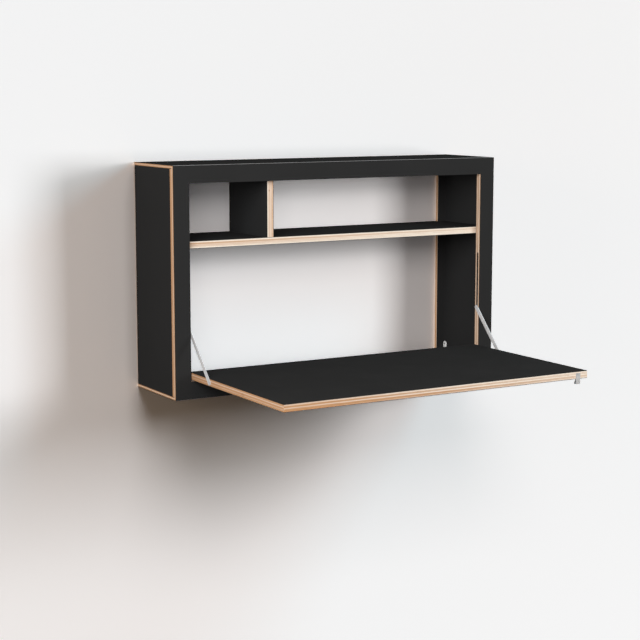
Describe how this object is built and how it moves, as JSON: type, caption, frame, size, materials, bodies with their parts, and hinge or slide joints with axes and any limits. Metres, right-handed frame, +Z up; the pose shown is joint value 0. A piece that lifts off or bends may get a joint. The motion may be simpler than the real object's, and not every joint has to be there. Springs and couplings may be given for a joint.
{
  "type": "fold down wall desk",
  "caption": "Wall-held black laminate plywood box whose front flap folds down on stays to a writing surface, with an open shelf and divider above it.",
  "frame": {"origin": "on the wall plane, in the middle of the four wall screw holes", "axes": "+X to the right seen from the room, +Y into the wall, +Z up; the flap opens towards -Y"},
  "size_m": [1, 0.7232, 0.604],
  "materials": {
    "black_laminate": "matt black laminate with a fine pore",
    "plywood": "sanded birch plywood with raw layered edges",
    "beech_dowel": "fluted beech",
    "steel": "satin steel",
    "zinc_steel": "zinc plated",
    "brass": "turned",
    "nylon": "moulded",
    "nickel": "nickel plated"
  },
  "bodies": {
    "case": {"bottom_panel": "plywood", "bottom_panel_laminate": "black_laminate", "bracket_screws": "zinc_steel", "case_dowels": "beech_dowel", "catch_magnet": "nickel", "corner_bracket_left": "steel", "corner_bracket_right": "steel", "divider": "plywood", "divider_dowels": "beech_dowel", "divider_laminate": "black_laminate", "front_frame": "plywood", "front_frame_laminate": "black_laminate", "hinge_pin_left": "steel", "hinge_pin_right": "steel", "shelf": "plywood", "shelf_dowels": "beech_dowel", "shelf_laminate": "black_laminate", "side_panel_left": "plywood", "side_panel_left_laminate": "black_laminate", "side_panel_right": "plywood", "side_panel_right_laminate": "black_laminate", "top_panel": "plywood", "top_panel_laminate": "black_laminate", "wall_batten_left": "plywood", "wall_batten_left_laminate": "black_laminate", "wall_batten_right": "plywood", "wall_batten_right_laminate": "black_laminate"},
    "flap": {"flap": "plywood", "flap_laminate": "black_laminate", "hinge_bush_left": "brass", "hinge_bush_right": "brass", "pull_tab": "steel", "pull_tab_screw": "zinc_steel", "stay_screw_left": "zinc_steel", "stay_screw_right": "zinc_steel"},
    "glide_left": {"stay_glide_left": "nylon"},
    "glide_right": {"stay_glide_right": "nylon"},
    "stay_left": {"stay_left": "steel", "stay_pin_left": "steel"},
    "stay_right": {"stay_pin_right": "steel", "stay_right": "steel"}
  },
  "joints": [
    {"name": "flap_fold", "type": "hinge", "parent": "case", "child": "flap", "pos_m": [0, -0.2282, -0.24203], "axis": [-1, 0, 0], "range_deg": [0, 90]},
    {"name": "stay_left_turn", "type": "hinge", "parent": "flap", "child": "stay_left", "pos_m": [-0.4534, -0.3382, -0.24203], "axis": [-1, 0, 0], "range_deg": [-133.2, 0]},
    {"name": "glide_left_run", "type": "slide", "parent": "case", "child": "glide_left", "axis": [0, 0, 1], "range_m": [0, 0.1536]},
    {"name": "stay_right_turn", "type": "hinge", "parent": "flap", "child": "stay_right", "pos_m": [0.4534, -0.3382, -0.24203], "axis": [-1, 0, 0], "range_deg": [-133.2, 0]},
    {"name": "glide_right_run", "type": "slide", "parent": "case", "child": "glide_right", "axis": [0, 0, 1], "range_m": [0, 0.1536]}
  ],
  "couplings": [
    {"joint": "stay_left_turn", "follows": "flap_fold", "ratio": -1.4789},
    {"joint": "glide_left_run", "follows": "flap_fold", "m_per_rad": 0.097681},
    {"joint": "stay_right_turn", "follows": "flap_fold", "ratio": -1.4789},
    {"joint": "glide_right_run", "follows": "flap_fold", "m_per_rad": 0.097681}
  ]
}
